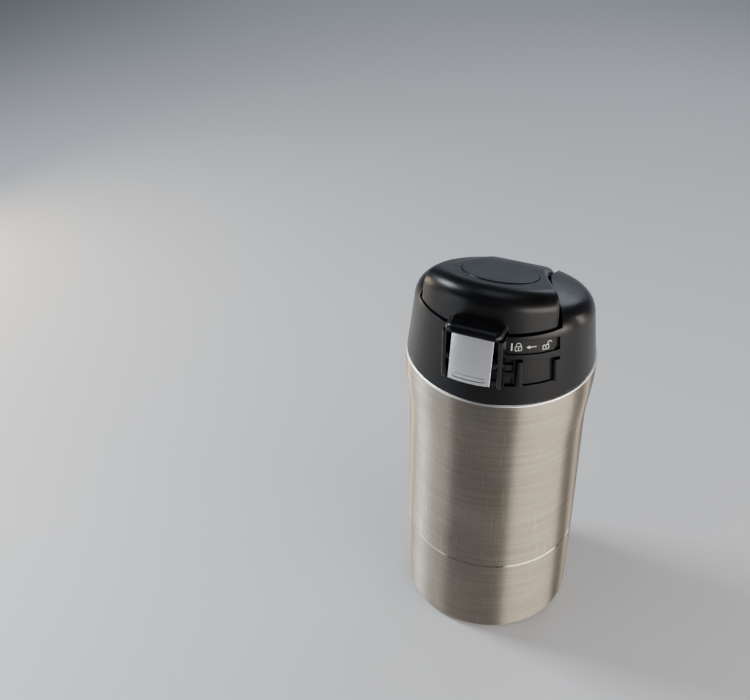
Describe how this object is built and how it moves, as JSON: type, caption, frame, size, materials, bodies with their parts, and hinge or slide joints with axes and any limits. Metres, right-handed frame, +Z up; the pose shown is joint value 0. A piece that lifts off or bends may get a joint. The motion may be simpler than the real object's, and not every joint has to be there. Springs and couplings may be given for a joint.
{
  "type": "insulated tumbler with lid",
  "caption": "Double-walled steel travel tumbler with a screw-on black lid, a hinged flip cover over a drinking spout, a chrome release button and a sliding lock.",
  "frame": {"origin": "centre of the base, on the plane that the tumbler stands on", "axes": "+Z up along the vessel's axis, -Y towards the release button, +Y towards the flip cover's hinge, +X to the right of a person facing the button"},
  "size_m": [0.0726, 0.0762, 0.1685],
  "materials": {
    "brushed_steel": "fine circumferential brushing, warm nickel tone",
    "liner_steel": "electropolished",
    "foil_copper": "thin copper foil",
    "getter_metal": "sintered",
    "black_plastic": "satin black",
    "core_plastic": "fine matt black",
    "gloss_black": "glossy black",
    "silicone": "translucent white silicone",
    "button_chrome": "satin chrome",
    "pin_steel": "bright drawn wire",
    "white_print": "pad-printed white"
  },
  "bodies": {
    "bottle": {"outer_shell": "brushed_steel", "inner_liner": "liner_steel", "base_plate": "brushed_steel", "vacuum_seal": "getter_metal", "getter_disc": "getter_metal", "radiation_foil": "foil_copper"},
    "mouth_seal": {"mouth_gasket": "silicone"},
    "lid": {"lid_collar": "black_plastic", "lid_core": "core_plastic", "spout": "core_plastic", "hinge_pin": "pin_steel", "button_bezel": "gloss_black", "button_pin": "pin_steel", "button_spring": "pin_steel", "label_plate": "black_plastic", "lock_icons": "white_print"},
    "cover": {"flip_cover": "black_plastic", "cover_panel": "core_plastic", "spout_seal": "silicone", "top_disc": "black_plastic", "cover_spring": "pin_steel"},
    "button": {"button_plate": "button_chrome", "button_lever": "core_plastic"},
    "slider": {"lock_slider": "black_plastic"}
  },
  "joints": [
    {"name": "lid_lift", "type": "slide", "parent": "bottle", "child": "mouth_seal", "axis": [0, 0, 1], "range_m": [0, 0.014]},
    {"name": "lid_turn", "type": "hinge", "parent": "mouth_seal", "child": "lid", "pos_m": [0, 0, 0.126], "axis": [0, 0, 1], "range_deg": [0, 630]},
    {"name": "cover_flip", "type": "hinge", "parent": "lid", "child": "cover", "pos_m": [0, 0.0235, 0.1458], "axis": [-1, 0, 0], "range_deg": [0, 120]},
    {"name": "button_press", "type": "hinge", "parent": "lid", "child": "button", "pos_m": [0, -0.0356, 0.1445], "axis": [1, 0, 0], "range_deg": [0, 5], "stiffness_Nm_per_rad": 0.3, "deforming": ["button_spring"]},
    {"name": "lock_slide", "type": "hinge", "parent": "lid", "child": "slider", "pos_m": [0, 0, 0.139], "axis": [0, 0, -1], "range_deg": [0, 6]}
  ],
  "couplings": [
    {"joint": "lid_lift", "follows": "lid_turn", "m_per_rad": 0.0012732}
  ]
}
